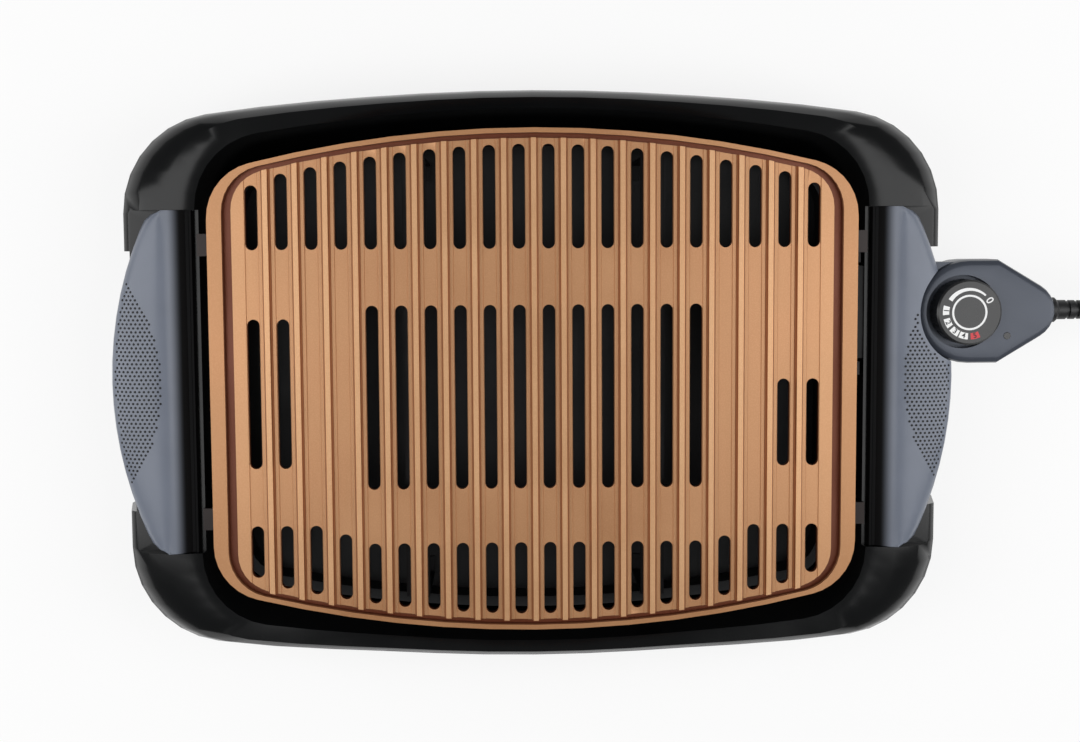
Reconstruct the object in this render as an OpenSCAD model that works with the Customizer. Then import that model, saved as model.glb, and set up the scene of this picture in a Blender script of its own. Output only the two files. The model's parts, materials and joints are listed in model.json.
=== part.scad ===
// Countertop electric grill: open base with two side handles, lift-off slotted
// grill plate, tubular heating element, drip tray and a plug-in thermostat control.
// Millimetres. Origin on the table under the middle of the plate, +X towards the
// control, +Y to the rear, +Z up.

/* [Grill plate] */
// Width of the plate over its side flanges
plate_w = 323; // [310:1:328]
// Depth of the plate at the middle of its curved front and rear
plate_d = 251.8; // [240:0.1:254]
// Radius of the curved front and rear edges
plate_bow_r = 590; // [560:5:700]
// Corner radius of the plate
plate_corner_r = 28; // [24:1:34]
// Height of the cooking surface above the table
plate_top = 80; // [79:0.5:84]
// Depth of the plate's outer skirt below the cooking surface
plate_skirt_h = 9; // [8:0.5:9.5]
// Width of the flat flange at the sides
flange_side = 7.3; // [5:0.1:9]
// Width of the flat flange at the front and rear
flange_front = 2.4; // [2:0.1:4]
// Height of the flange above the cooking surface
flange_rise = 1.2; // [0.6:0.1:2.5]
// Width of the grease gutter at the sides
gutter_side = 4.6; // [3:0.1:6]
// Width of the grease gutter at the front and rear
gutter_front = 2.6; // [2:0.1:4]
// Depth of the grease gutter
gutter_depth = 4; // [2:0.1:4.5]
// Thickness of the casting under the cooking surface
platform_t = 4.5; // [3.5:0.1:5]
// Thickness of the outer skirt
skirt_t = 4; // [3:0.1:5]

/* [Slots and ribs] */
// Distance from one slot column to the next
slot_pitch = 14.7; // [14:0.1:15]
// Number of slot columns
slot_columns = 20; // [16:2:20]
// Width of a slot
slot_w = 6.2; // [4:0.1:7]
// Metal left between a slot's end and the edge of the cooking surface
slot_margin = 2.8; // [2:0.1:6]
// Width of a rib at its foot
rib_base = 4.7; // [3.5:0.1:6]
// Width of a rib at its top
rib_tip = 2.5; // [1.5:0.1:3]
// Height of a rib
rib_h = 3.4; // [2:0.1:5]

// Width of the shallow channel that each slot column lies in
channel_w = 6.9; // [6.4:0.1:8]
// Depth of that channel
channel_depth = 0.6; // [0.2:0.1:1]

/* [Plate supports] */
// Width of each resting lug of the plate
lug_w = 11; // [8:0.5:14]
// How far a lug stands out of the plate's side
lug_out = 6; // [4:0.5:6.5]
// Thickness of a lug
lug_t = 4; // [3:0.5:5]
// Distance of the lugs from the middle, front and rear
lug_y = 69; // [60:1:74]

/* [Base shell] */
// Width of the body at each side of the basin
body_side = 42.5; // [40:0.5:45]
// Width of the body at the front and rear of the basin
body_front = 10.7; // [9:0.1:13]
// Radius of the curved front and rear of the base
base_bow_r = 1150; // [1000:10:1400]
// Corner radius of the base
base_corner_r = 50; // [46:1:54]
// Gap between the plate's side and the basin's rim
basin_gap_side = 7; // [6.8:0.1:8]
// Gap between the plate's front or rear and the basin's rim
basin_gap_front = 10.9; // [9:0.1:13]
// Height of the rim at the raised corners
rim_corner_z = 77; // [76:0.5:80]
// Height of the rim at the middle of the front and rear
rim_front_z = 63; // [60:0.5:68]
// Wall thickness of the base shell
shell_t = 3; // [2.6:0.1:3.4]
// Height of the basin floor above the table
floor_z = 11; // [10:0.5:12]
// Gap between the base's lower edge and the table
ground_gap = 6; // [5:0.5:7]
// Distance between the front and rear faces of the corner pillars beside a handle
handle_bay = 173; // [170:1:176]
// Length of the finger recess under each handle
recess_len = 132; // [124:1:136]
// Height of the shelf in the finger recess above the table
recess_floor_z = 34; // [30:1:38]

/* [Handles] */
// Height of the seat that the handles rest on
seat_z = 68; // [67.9:0.1:68.4]
// How far a handle stands out past the side of the base
handle_over = 1.4; // [1:0.1:3]
// Radius of a handle's curved outer edge
handle_bow_r = 192; // [180:2:220]
// Height of a handle's crest above its seat
handle_rise = 10; // [8:0.5:12]
// Width of the raised bead along a handle's inner edge
bead_w = 2.2; // [1.6:0.1:3]

/* [Drip tray] */
// Height of the drip tray
tray_h = 21; // [15:1:24]
// Sheet thickness of the drip tray
tray_t = 1.2; // [0.8:0.1:1.6]
// Clearance between the tray and the basin wall
tray_gap = 1.5; // [1:0.1:2]

/* [Heating element] */
// Diameter of the element's tube
element_d = 7; // [6.5:0.1:7.5]
// Distance of the rear run from the middle
element_rear = 52; // [50:0.5:54]
// Distance of the front run from the middle
element_front = 68; // [64:0.5:71]
// Distance of the side runs from the middle
element_side = 102; // [98:0.5:106]
// Bend radius of the element at its corners
element_bend_r = 24; // [20:0.5:24.5]
// Air between the element and the underside of the plate
element_air = 1.5; // [1.5:0.1:2.5]
// Bend radius where the cold ends drop to the terminals
drop_r = 12; // [10:0.5:13]
// Diameter of a terminal pin
pin_d = 4; // [3.6:0.1:4.4]

/* [Control] */
// Distance of the control's centre line behind the middle
control_y = 33; // [32:0.2:34]
// Distance of the dial's axis outside the base's side
dial_out = 7.6; // [7:0.1:8.4]
// Radius of the control's round end at the handle
control_r = 26.3; // [26:0.1:26.5]
// Radius of the control's nose at the cord
nose_r = 15; // [13:0.5:16]
// Distance from the round end's centre to the nose's centre
nose_reach = 29.6; // [27:0.2:34]
// Height of the control's underside
control_bottom_z = 43; // [41:0.5:44]
// Height of the control's top face
control_top_z = 71; // [70.8:0.1:73]
// Height of the parting line, which is the cord's height too
parting_z = 57; // [56.5:0.1:57.2]
// Wall thickness of the control's housing
housing_t = 2.2; // [1.8:0.1:2.4]
// Height of the probe and the terminal pins
pin_z = 60; // [59.6:0.1:60.2]
// Diameter of the sensor probe
probe_d = 6.4; // [6:0.1:6.6]
// Distance of the probe's tip from the plate's side
probe_reach = 65.5; // [52:0.5:70]
// Radius of the dial at its top
dial_r = 16.4; // [15:0.1:16.6]
// Height of the dial's face above the control's top face
dial_proud = 8; // [5:0.5:10]
// Radius of the well that the dial sits in
well_r = 18.6; // [18.5:0.1:18.8]
// Depth of the well
well_depth = 7; // [5:0.5:7]
// Diameter of the dial's spindle
spindle_d = 6; // [5:0.1:6.4]

/* [Cord and plug] */
// Diameter of the cord
cord_d = 7; // [6.8:0.1:7]
// Length of the strain relief outside the housing
sleeve_len = 38; // [30:1:38]
// Least gap between turns of the stored cord
turn_gap = 0.5; // [0.45:0.01:0.6]
// Radius of the innermost turn of the stored cord, to the cord's middle
coil_inner_r = 34.5; // [33:0.1:36]
// Thickness of the tie's band
tie_t = 0.8; // [0.6:0.1:0.9]
// Length of the plug's body
plug_len = 36; // [30:1:42]
// Distance between the plug's blades
blade_pitch = 12.7; // [12.5:0.1:12.9]

/* [Fits] */
// Clearance between pieces that are assembled and stay put
fit = 0.15; // [0.1:0.01:0.2]
// Radial clearance of turning and plugging fits
running = 0.06; // [0.05:0.01:0.09]
// Clearance of the lift-off and pull-out pieces
slide_gap = 0.4; // [0.3:0.05:0.5]

/* [Hidden] */

$fn = 48;
eps = 0.01;
basin_w = plate_w + 2 * basin_gap_side;
basin_d = plate_d + 2 * basin_gap_front;
base_w = basin_w + 2 * body_side;
base_d = basin_d + 2 * body_front;
dial_x = base_w / 2 + dial_out;
probe_tip_x = plate_w / 2 - probe_reach;
black = [0.07, 0.07, 0.08];
gloss = [0.16, 0.17, 0.19];
copper = [0.76, 0.52, 0.34];
steel = [0.72, 0.72, 0.74];
ceramic = [0.93, 0.91, 0.86];

// Points along the first quarter of a rounded rectangle with bowed front and rear.
// hx and hy are its half sizes, bow the radius of the bowed edge, r the corner's.
arc_steps = 6;
corner_steps = 7;
side_steps = 2;
function corner_y(hx, hy, bow, r) = hy - bow + sqrt(pow(bow - r, 2) - pow(hx - r, 2));
function corner_a(hx, hy, bow, r) = atan2(corner_y(hx, hy, bow, r) - hy + bow, hx - r);
function quarter(hx, hy, bow, r) =
  let (cy = corner_y(hx, hy, bow, r), a = corner_a(hx, hy, bow, r))
  concat(
    [for (i = [0 : side_steps - 1]) [hx, cy * i / side_steps]],
    [for (i = [0 : corner_steps - 1])
      [hx - r + r * cos(a * i / corner_steps), cy + r * sin(a * i / corner_steps)]],
    [for (i = [0 : arc_steps - 1])
      let (b = a + (90 - a) * i / arc_steps) [bow * cos(b), hy - bow + bow * sin(b)]]);
function mirrored_x(p) = [for (i = [len(p) - 1 : -1 : 0]) [-p[i][0], p[i][1]]];
function outline(hx, hy, bow, r) =
  let (q = quarter(hx, hy, bow, r), half = concat(q, [[0, hy]], mirrored_x(q)))
  concat(half, [for (p = slice(half, 1, len(half) - 2)) [-p[0], -p[1]]]);
function slice(p, from, to) = [for (i = [from : to]) p[i]];
function inset(o, side, front) = [o[0] - side, o[1] - front, o[2] - front, max(o[3] - (side + front) / 2, 4)];
function outline_of(o) = outline(o[0], o[1], o[2], o[3]);

// Height of the bowed edge of an outline at a distance x from the middle.
function edge_y(o, x) =
  let (cy = corner_y(o[0], o[1], o[2], o[3]), a = corner_a(o[0], o[1], o[2], o[3]), c = o[0] - o[3])
  abs(x) <= o[2] * cos(a) ? o[1] - o[2] + sqrt(o[2] * o[2] - x * x)
    : cy + sqrt(max(o[3] * o[3] - pow(abs(x) - c, 2), 0));

// A closed skin over rings of equally many points, which run anticlockwise as the rings
// rise. Each end is one face, or with fan a fan round its middle.
function sum_of(ring, k) = [for (p = ring) p[k]] * [for (p = ring) 1];
function middle(ring) = [for (k = [0 : 2]) sum_of(ring, k) / len(ring)];
module skin(rings, fan = false) {
  n = len(rings[0]);
  m = len(rings);
  last = (m - 1) * n;
  polyhedron(
    points = concat([for (ring = rings) each ring], fan ? [middle(rings[0]), middle(rings[m - 1])] : []),
    faces = concat(
      fan ? [for (i = [0 : n - 1]) [m * n, i, (i + 1) % n]] : [[for (i = [0 : n - 1]) i]],
      fan ? [for (i = [0 : n - 1]) [m * n + 1, last + (i + 1) % n, last + i]]
        : [[for (i = [n - 1 : -1 : 0]) last + i]],
      [for (k = [0 : m - 2], i = [0 : n - 1])
        [k * n + i, (k + 1) * n + (i + 1) % n, k * n + (i + 1) % n]],
      [for (k = [0 : m - 2], i = [0 : n - 1])
        [k * n + i, (k + 1) * n + i, (k + 1) * n + (i + 1) % n]]));
}

// A round tube swept along points that never run straight up or down.
function unit(v) = v / norm(v);
function tangent(p, i) = unit(p[min(i + 1, len(p) - 1)] - p[max(i - 1, 0)]);
function tube_ring(at, t, r, sides) =
  let (s = unit(cross(t, [0, 0, 1])), u = cross(s, t))
  [for (k = [0 : sides - 1]) at + r * cos(360 * (k + 0.5) / sides) * s
    + r * sin(360 * (k + 0.5) / sides) * u];
module tube(p, r, sides) {
  skin([for (i = [len(p) - 1 : -1 : 0]) tube_ring(p[i], tangent(p, i), r, sides)]);
}

module at_corners(x, y) {
  for (sx = [-1, 1], sy = [-1, 1]) translate([sx * x, sy * y, 0]) children();
}
module along_x(x, y, z) {
  translate([x, y, z]) rotate([0, 90, 0]) children();
}

// Grill plate
plate_o = [plate_w / 2, plate_d / 2, plate_bow_r, plate_corner_r];
flange_o = inset(plate_o, flange_side, flange_front);
platform_o = inset(flange_o, gutter_side, gutter_front);
plate_low = plate_top - plate_skirt_h;
flange_top = plate_top + flange_rise;
gutter_z = plate_top - gutter_depth;
platform_low = plate_top - platform_t;
gutter_floor_t = 2.6;
// Slot rows: first and last column, and the row's two ends. A row that runs to the
// curved edge has its end taken from the edge of the cooking surface.
rear_row_y = 66.3;
front_rows = [[0, 2, -72], [3, 3, -76.5], [4, 15, -81.4], [16, 16, -79], [17, 19, -73.3]];
middle_rows = [[0, 1, -43, 32], [4, 15, -54, 38.5], [18, 19, -43.5, 0.5]];
function column_x(i) = (i - (slot_columns - 1) / 2) * slot_pitch;
function slot_end(i) = edge_y(platform_o, abs(column_x(i)) + slot_w / 2) - slot_margin;

module slot(x, y0, y1) {
  r = slot_w / 2;
  translate([x, 0]) {
    translate([-r, y0 + r]) square([slot_w, y1 - y0 - slot_w]);
    translate([0, y0 + r]) circle(r);
    translate([0, y1 - r]) circle(r);
  }
}
module slots() {
  for (i = [0 : slot_columns - 1]) slot(column_x(i), rear_row_y, slot_end(i));
  for (row = front_rows, i = [row[0] : row[1]]) if (i < slot_columns)
    slot(column_x(i), -slot_end(i), row[2]);
  for (row = middle_rows, i = [row[0] : row[1]]) if (i < slot_columns)
    slot(column_x(i), row[2], row[3]);
}
module rib(x) {
  reach = plate_d / 2;
  translate([x, reach, plate_top - eps]) rotate([90, 0, 0]) linear_extrude(2 * reach)
    polygon([[-rib_base / 2, 0], [rib_base / 2, 0], [rib_tip / 2, rib_h], [-rib_tip / 2, rib_h]]);
}
module channel(x) {
  reach = plate_d / 2;
  half = channel_w / 2;
  foot = half - channel_depth / 2;
  translate([x, reach, plate_top]) rotate([90, 0, 0]) linear_extrude(2 * reach)
    polygon([[-half, 0], [-half, eps], [half, eps], [half, 0], [foot, -channel_depth], [-foot, -channel_depth]]);
}
probe_r = probe_d / 2;
probe_seat_w = probe_d + 6;
probe_seat_len = 46;
probe_seat_x = probe_tip_x - 4;
module probe_seat() {
  low_z = pin_z + probe_r + slide_gap;
  translate([probe_seat_x, control_y - probe_seat_w / 2, low_z])
    cube([probe_seat_len, probe_seat_w, platform_low - low_z + eps]);
}
module grill_plate() {
  pocket_o = inset(plate_o, skirt_t, skirt_t);
  core_o = inset(platform_o, 3, 3);
  color(copper) difference() {
    union() {
      difference() {
        translate([0, 0, plate_low]) linear_extrude(flange_top - plate_low) polygon(outline_of(plate_o));
        translate([0, 0, gutter_z]) linear_extrude(flange_top) difference() {
          polygon(outline_of(flange_o));
          polygon(outline_of(platform_o));
        }
        translate([0, 0, plate_top]) linear_extrude(flange_top) polygon(outline_of(flange_o));
        translate([0, 0, plate_low - eps]) linear_extrude(gutter_z - gutter_floor_t - plate_low)
          polygon(outline_of(pocket_o));
        translate([0, 0, plate_low - eps]) linear_extrude(platform_low - plate_low + eps)
          polygon(outline_of(core_o));
        intersection() {
          for (i = [0 : slot_columns - 1]) channel(column_x(i));
          translate([0, 0, plate_top - 1]) linear_extrude(2) polygon(outline_of(platform_o));
        }
      }
      intersection() {
        for (i = [0 : slot_columns - 2]) rib(column_x(i) + slot_pitch / 2);
        translate([0, 0, plate_top - 1]) linear_extrude(rib_h + 2) polygon(outline_of(platform_o));
      }
      for (sx = [-1, 1], sy = [-1, 1])
        translate([sx > 0 ? plate_w / 2 - 1 : -plate_w / 2 - lug_out, sy * lug_y - lug_w / 2, plate_low])
          cube([lug_out + 1, lug_w, lug_t]);
      probe_seat();
    }
    translate([0, 0, platform_low - 1]) linear_extrude(platform_t + 2) slots();
  }
}

// Base shell. Each ring is an outline at a height; the heights of the upper rings
// follow the rim, which is low at the middle of the front and rear.
base_hx = base_w / 2;
base_hy = base_d / 2;
basin_hx = basin_w / 2;
basin_hy = basin_d / 2;
basin_bow = 760;
basin_corner_r = 38;
ridge_hx = basin_hx + 14.5;
ridge_hy = basin_hy + 5.4;
function smooth(t) = let (u = min(max(t, 0), 1)) u * u * (3 - 2 * u);
function rim_z(x) = rim_front_z + (rim_corner_z - rim_front_z) * smooth((abs(x) - 60) / 108);
function ring(o, z) = [for (p = outline_of(o)) [p[0], p[1], z]];
function rim_ring(o, drop) = [for (p = outline_of(o)) [p[0], p[1], rim_z(p[0]) - drop]];
outer_ridge = [ridge_hx, ridge_hy, 950, 44];
outer_shoulder = [base_hx - 15, base_hy - 2.7, 1000, 47];
outer_side = [base_hx - 5, base_hy - 0.8, 1080, base_corner_r];
outer_wide = [base_hx, base_hy, base_bow_r, base_corner_r];
outer_low = [base_hx - 2, base_hy - 1.2, base_bow_r, base_corner_r];
outer_foot = [base_hx - 9, base_hy - 6.5, base_bow_r, base_corner_r];
basin_floor = [basin_hx - 9, basin_hy - 9.8, 720, 30];
basin_mid = [basin_hx - 4, basin_hy - 4, 740, 34];
basin_rim = [basin_hx, basin_hy, basin_bow, basin_corner_r];
tray_o = [basin_floor[0] - tray_gap, basin_floor[1] - tray_gap, basin_floor[2], basin_floor[3] - 1];
wide_z = 40;
low_z = 22;
shoulder_drop = 4;
side_drop = 13;
rim_bevel = 2.5;
function thinner(o) = inset(o, shell_t, shell_t);
function thicker(o) = [o[0] + shell_t, o[1] + shell_t, o[2], o[3] + shell_t];
module shell_skin() {
  skin(shell_rings(), fan = true);
}
function shell_rings() = [
  ring(thicker(basin_floor), floor_z - shell_t),
  ring(thicker(basin_mid), wide_z),
  rim_ring(thicker(basin_rim), rim_bevel + shell_t),
  rim_ring(inset(outer_shoulder, 2 * shell_t + 2, shell_t / 2), shoulder_drop + shell_t),
  rim_ring(thinner(outer_side), side_drop + shell_t),
  ring(thinner(outer_wide), wide_z),
  ring(thinner(outer_low), low_z),
  ring(thinner(outer_foot), ground_gap),
  ring(outer_foot, ground_gap),
  ring(outer_low, low_z),
  ring(outer_wide, wide_z),
  rim_ring(outer_side, side_drop),
  rim_ring(outer_shoulder, shoulder_drop),
  rim_ring(outer_ridge, 0),
  rim_ring(basin_rim, rim_bevel),
  ring(basin_mid, wide_z),
  ring(basin_floor, floor_z)];

// The recess wall is the basin wall; its shelf and ends run into the outer skin.
recess_x = basin_hx + shell_t;
deck_t = 3;
module across(y0, y1, profile) {
  translate([0, y1, 0]) rotate([90, 0, 0]) linear_extrude(y1 - y0) polygon(profile);
}
module recess_liner() {
  x_low = basin_mid[0] + 1;
  x_top = basin_hx + 0.8;
  x1 = base_hx - shell_t / 2;
  x2 = base_hx - 5 - shell_t / 2;
  half = recess_len / 2;
  bay = handle_bay / 2;
  shelf_z = recess_floor_z - shell_t;
  side_z = rim_corner_z - side_drop;
  end_wall = [[x_low, shelf_z], [x1, shelf_z], [x1, wide_z], [x2, side_z], [x2 - 4, seat_z], [x_top, seat_z]];
  deck = [[x_top, seat_z - deck_t], [x2 - 2, seat_z - deck_t], [x2 - 4, seat_z], [x_top, seat_z]];
  pillar_end = [[x_top, seat_z - deck_t], [x2 - 2, seat_z - deck_t], [base_hx - 16, rim_corner_z - 5.5],
    [ridge_hx, rim_corner_z - 1.5], [x_top, rim_corner_z - 4]];
  translate([x_low, -half - shell_t, shelf_z]) cube([x1 - x_low, 2 * (half + shell_t), shell_t]);
  for (s = [0, 1]) mirror([0, s, 0]) {
    across(half, half + shell_t, end_wall);
    across(half, bay + shell_t, deck);
    across(bay, bay + shell_t, pillar_end);
  }
}
cut_reach = base_w / 4;
module recess_cut() {
  translate([recess_x, -recess_len / 2, recess_floor_z]) cube([cut_reach, recess_len, cut_reach]);
  translate([basin_hx - 2 * shell_t, -handle_bay / 2, seat_z]) cube([cut_reach, handle_bay, cut_reach]);
}
foot_x = base_hx - 35;
foot_y = base_hy - 41.5;
foot_r = 10;
foot_boss_r = foot_r - 1;
foot_screw_len = 18;
boss_top_z = wide_z;
boss_web_t = 3;
strap_x = 60;
strap_w = 12;
strap_t = 2;
element_z = platform_low - element_air - element_d / 2;
strap_top_z = element_z - element_d / 2 - 0.1;
strap_half = tray_o[1] - 14;
strap_low_z = strap_top_z - strap_t;
handle_screw_x = basin_hx + 17.5;
handle_screw_y = recess_len / 2 + 10;
handle_boss_r = 6;
screw_r = 2;
screw_slack = 0.1;
screw_head_r = 3.6;
screw_head_h = 3;
screw_bite = 5;
head_seat_z = seat_z - 10;
shelf_low_z = recess_floor_z - shell_t;
module foot_boss() {
  x0 = basin_hx - 8.5;
  x1 = base_hx - 17.5;
  translate([foot_x, foot_y, ground_gap]) cylinder(r = foot_boss_r, h = boss_top_z - ground_gap);
  translate([x0, foot_y - boss_web_t / 2, ground_gap + 2])
    cube([x1 - x0, boss_web_t, boss_top_z - ground_gap - 3]);
}
rest_w = 6;
module plate_rest(sx, sy) {
  x0 = plate_w / 2 - 1;
  x1 = basin_hx + 1;
  translate([sx > 0 ? x0 : -x1, sy * lug_y - rest_w / 2, floor_z - 1])
    cube([x1 - x0, rest_w, plate_low - floor_z + 1]);
}
module base_shell() {
  color(black) difference() {
    union() {
      shell_skin();
      recess_liner();
      mirror([1, 0, 0]) recess_liner();
      for (sx = [-1, 1], sy = [-1, 1]) {
        plate_rest(sx, sy);
        mirror([sx < 0 ? 1 : 0, 0, 0]) mirror([0, sy < 0 ? 1 : 0, 0]) foot_boss();
      }
      at_corners(handle_screw_x, handle_screw_y)
        translate([0, 0, recess_floor_z]) cylinder(r = handle_boss_r, h = seat_z - recess_floor_z);
    }
    recess_cut();
    mirror([1, 0, 0]) recess_cut();
    translate([socket_x0 - 1, control_y - socket_w / 2 - slide_gap, pin_z - socket_h / 2 - slide_gap])
      cube([socket_x1 - socket_x0, socket_w + 2 * slide_gap, socket_h + 2 * slide_gap]);
    at_corners(foot_x, foot_y) translate([0, 0, ground_gap - eps])
      cylinder(r = screw_r, h = foot_screw_len);
    at_corners(handle_screw_x, handle_screw_y) translate([0, 0, shelf_low_z - 1]) {
      cylinder(r = screw_r + fit, h = seat_z);
      cylinder(r = screw_head_r + 3 * fit, h = head_seat_z - shelf_low_z + 1);
    }
  }
}

// Handles: a wing whose section runs from the inner bead over a crest to a thin
// outer edge, swept along Y and drawn in towards both ends.
handle_hx = base_hx + handle_over;
handle_len = handle_bay - 2 * fit;
handle_in = basin_hx + 1.5;
crest_in = handle_in + 14;
function handle_edge(y) = handle_hx - handle_bow_r + sqrt(handle_bow_r * handle_bow_r - y * y);
end_round = 7;
function end_draw(y) =
  let (d = max(abs(y) - (handle_len / 2 - end_round), 0))
  end_round - sqrt(max(end_round * end_round - d * d, 0));
function section_x(u, y) = let (edge = handle_edge(y) - end_draw(y)) crest_in + (edge - crest_in) * u;
function handle_section(y) = let (h = handle_rise) [
  [handle_in, y, seat_z], [handle_in, y, seat_z + 0.36 * h],
  [handle_in + 0.3 * bead_w, y, seat_z + 0.44 * h], [handle_in + 0.8 * bead_w, y, seat_z + 0.44 * h],
  [handle_in + bead_w, y, seat_z + 0.34 * h], [handle_in + bead_w + 1.6, y, seat_z + 0.34 * h],
  [handle_in + bead_w + 4.5, y, seat_z + 0.55 * h], [crest_in - 3.5, y, seat_z + 0.82 * h],
  [crest_in, y, seat_z + 0.93 * h], [section_x(0.22, y), y, seat_z + h],
  [section_x(0.45, y), y, seat_z + 0.98 * h], [section_x(0.68, y), y, seat_z + 0.85 * h],
  [section_x(0.86, y), y, seat_z + 0.63 * h], [section_x(0.97, y), y, seat_z + 0.4 * h],
  [section_x(1, y), y, seat_z + 0.22 * h], [section_x(0.97, y), y, seat_z + 0.06 * h],
  [section_x(0.92, y), y, seat_z]];
handle_stations = [0, 0.13, 0.26, 0.39, 0.52, 0.65, 0.78, 0.88, 0.94, 0.975, 1];
module wing() {
  half = handle_len / 2;
  n = len(handle_stations);
  skin([for (i = [n - 1 : -1 : -n + 1])
    handle_section((i < 0 ? -1 : 1) * handle_stations[abs(i)] * half)]);
}
// Blind holes from below take the handle screws.
module handle_body() {
  difference() {
    wing();
    for (sy = [-1, 1]) translate([handle_screw_x, sy * handle_screw_y, seat_z - eps])
      cylinder(r = screw_r, h = screw_bite + 1);
  }
}
module left_handle() {
  color(gloss) mirror([1, 0, 0]) handle_body();
}
module right_handle() {
  color(gloss) difference() {
    handle_body();
    translate([round_x, control_y, seat_z - 1]) cylinder(r = control_r + slide_gap, h = handle_rise + 4, $fn = 96);
  }
}
module handle_screws() {
  color(steel) at_corners(handle_screw_x, handle_screw_y)
    translate([0, 0, head_seat_z - screw_head_h]) {
      cylinder(r = screw_head_r, h = screw_head_h);
      cylinder(r = screw_r - screw_slack, h = seat_z + screw_bite - head_seat_z + screw_head_h);
    }
}
foot_head_r = 4.2;
foot_head_h = 1.6;
foot_head_low = 0.8;
module rubber_feet() {
  color(black) at_corners(foot_x, foot_y) difference() {
    rotate_extrude() polygon([[0, 0], [foot_r - 1, 0], [foot_r, 1], [foot_r - 0.6, ground_gap],
      [0, ground_gap]]);
    translate([0, 0, -1]) cylinder(r = foot_head_r + 2 * fit, h = 1 + foot_head_low + foot_head_h);
    cylinder(r = screw_r + fit, h = 2 * ground_gap);
  }
}
module foot_screws() {
  color(steel) at_corners(foot_x, foot_y) translate([0, 0, foot_head_low]) {
    cylinder(r = foot_head_r, h = foot_head_h);
    cylinder(r = screw_r - screw_slack, h = foot_screw_len);
  }
}

// Drip tray
tray_rim = 4;
module tray_prism(side, z, h) {
  translate([0, 0, z]) linear_extrude(h) polygon(outline_of(inset(tray_o, side, side)));
}
module drip_tray() {
  color(steel) difference() {
    union() {
      tray_prism(tray_rim, floor_z, tray_h);
      tray_prism(0, floor_z + tray_h - tray_t, tray_t);
    }
    tray_prism(tray_rim + tray_t, floor_z + tray_t, tray_h);
  }
}

// Heating element: one tube bent into an open loop, with both cold ends dropping
// to the height of the terminal pins on the control's side.
element_r = element_d / 2;
front_end_y = control_y - (element_rear - control_y);
drop_a = acos(1 - (element_z - pin_z) / (2 * drop_r));
drop_len = 2 * drop_r * sin(drop_a);
cold_end_x = basin_hx - 18.5;
drop_x = cold_end_x - 38;
turn_r = 9.5;
bend_steps = 6;
function arc(cx, cy, r, from, to) = [for (i = [0 : bend_steps])
  let (a = from + (to - from) * i / bend_steps) [cx + r * cos(a), cy + r * sin(a), element_z]];
function drop(y) = concat(
  [for (i = [0 : bend_steps]) let (a = drop_a * i / bend_steps)
    [drop_x + drop_r * sin(a), y, element_z - drop_r * (1 - cos(a))]],
  [for (i = [1 : bend_steps]) let (a = drop_a * (1 - i / bend_steps))
    [drop_x + drop_len - drop_r * sin(a), y, pin_z + drop_r * (1 - cos(a))]],
  [[cold_end_x, y, pin_z]]);
function backwards(p) = [for (i = [len(p) - 1 : -1 : 0]) p[i]];
element_path =
  let (x = element_side - element_bend_r, y = element_rear - element_bend_r,
    y1 = element_bend_r - element_front)
  concat(backwards(drop(element_rear)), arc(-x, y, element_bend_r, 90, 180),
    arc(-x, y1, element_bend_r, 180, 270), arc(x, y1, element_bend_r, 270, 360),
    arc(element_side + turn_r, front_end_y - turn_r, turn_r, 180, 90), drop(front_end_y));
module heating_element() {
  color(steel) tube(element_path, element_r, 12);
}
module strap() {
  foot_z = floor_z + tray_t;
  foot_len = 10;
  color(steel) translate([-strap_w / 2, 0, 0]) {
    translate([0, -strap_half, strap_low_z]) cube([strap_w, 2 * strap_half, strap_t]);
    for (s = [0, 1]) mirror([0, s, 0]) {
      translate([0, strap_half - strap_t, foot_z]) cube([strap_w, strap_t, strap_low_z - foot_z + eps]);
      translate([0, strap_half - foot_len, foot_z]) cube([strap_w, foot_len, strap_t]);
    }
  }
}
module element_strap_left() {
  translate([-strap_x, 0, 0]) strap();
}
module element_strap_right() {
  translate([strap_x, 0, 0]) strap();
}
clip_t = 1;
module element_clips() {
  r = element_r + fit;
  color(steel) for (sx = [-1, 1], y = [element_rear, -element_front])
    translate([sx * strap_x - 4, y, element_z]) rotate([90, 0, 90]) linear_extrude(8) difference() {
      union() {
        circle(r + clip_t);
        translate([-r - clip_t, strap_top_z - element_z]) square([2 * (r + clip_t), element_z - strap_top_z]);
        translate([-r - 5, strap_top_z - element_z]) square([2 * (r + 5), clip_t]);
      }
      circle(r);
      translate([-r, -r - clip_t - 1]) square([2 * r, r + clip_t + 1]);
    }
}

// Terminals and the socket block that takes them
pin_r = pin_d / 2;
pin_end_x = basin_hx + 15;
bracket_x = cold_end_x + 7;
bracket_t = 1.4;
bushing_r = 6;
module each_pin() {
  for (y = [element_rear, front_end_y]) along_x(0, y, pin_z) children();
}
module terminal_pins() {
  color(steel) each_pin() translate([0, 0, cold_end_x]) cylinder(r = pin_r, h = pin_end_x - cold_end_x);
}
module terminal_bushings() {
  color(ceramic) each_pin() difference() {
    union() {
      translate([0, 0, cold_end_x + fit]) cylinder(r = bushing_r - 0.8, h = bracket_x - cold_end_x + 3);
      translate([0, 0, cold_end_x + fit]) cylinder(r = bushing_r + 0.6, h = bracket_x - cold_end_x - fit);
    }
    translate([0, 0, cold_end_x - 1]) cylinder(r = pin_r + fit, h = 20);
  }
}
bracket_h = 15;
bracket_half = element_rear - control_y + 7;
ear_w = 6;
ear_screw_y = bracket_half + 3.6;
ear_screw_r = 1.5;
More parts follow.
